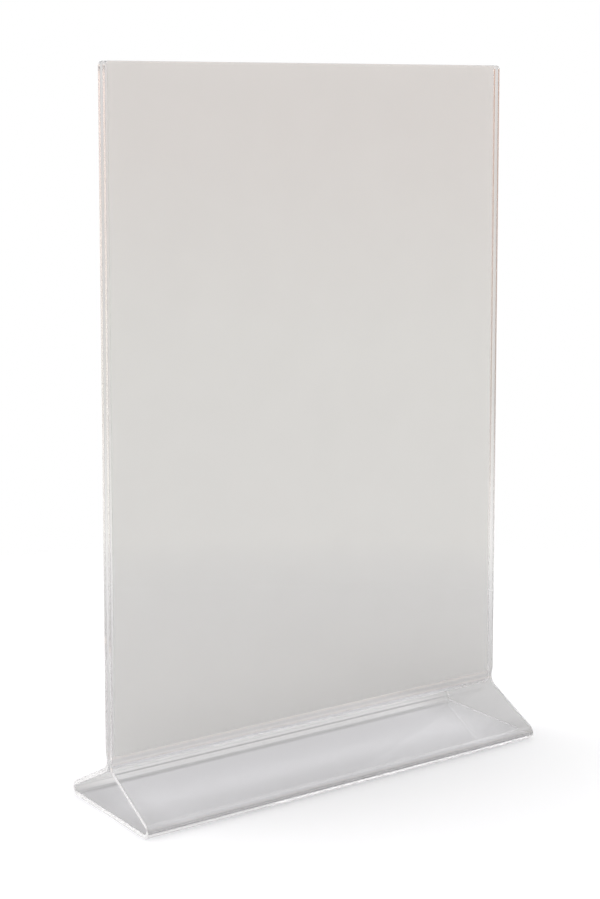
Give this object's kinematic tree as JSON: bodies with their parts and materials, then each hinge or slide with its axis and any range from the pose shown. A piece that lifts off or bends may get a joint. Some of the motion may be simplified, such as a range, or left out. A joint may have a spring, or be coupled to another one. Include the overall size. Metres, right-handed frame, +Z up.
{
  "type": "sign stand",
  "caption": "Clear acrylic sign stand, folded from flat sheet into an open triangular foot and a top-loading slot that holds blank sign sheets readable from either side.",
  "frame": {"origin": "centre of the flat underside of the foot", "axes": "+X along the width to the right, +Y from the front leaf to the rear leaf, +Z up"},
  "size_m": [0.215, 0.066, 0.3242],
  "materials": {
    "clear_acrylic": "polished clear sheet with bright cut edges",
    "sign_card": "matt uncoated card, blank"
  },
  "bodies": {
    "holder": {"acrylic_holder": "clear_acrylic"},
    "front_sheet": {"front_sign_sheet": "sign_card"},
    "rear_sheet": {"rear_sign_sheet": "sign_card"}
  },
  "joints": [
    {"name": "front_sheet_slide", "type": "slide", "parent": "holder", "child": "front_sheet", "axis": [0, 0, 1], "range_m": [0, 0.3]},
    {"name": "rear_sheet_slide", "type": "slide", "parent": "holder", "child": "rear_sheet", "axis": [0, 0, 1], "range_m": [0, 0.3]}
  ]
}
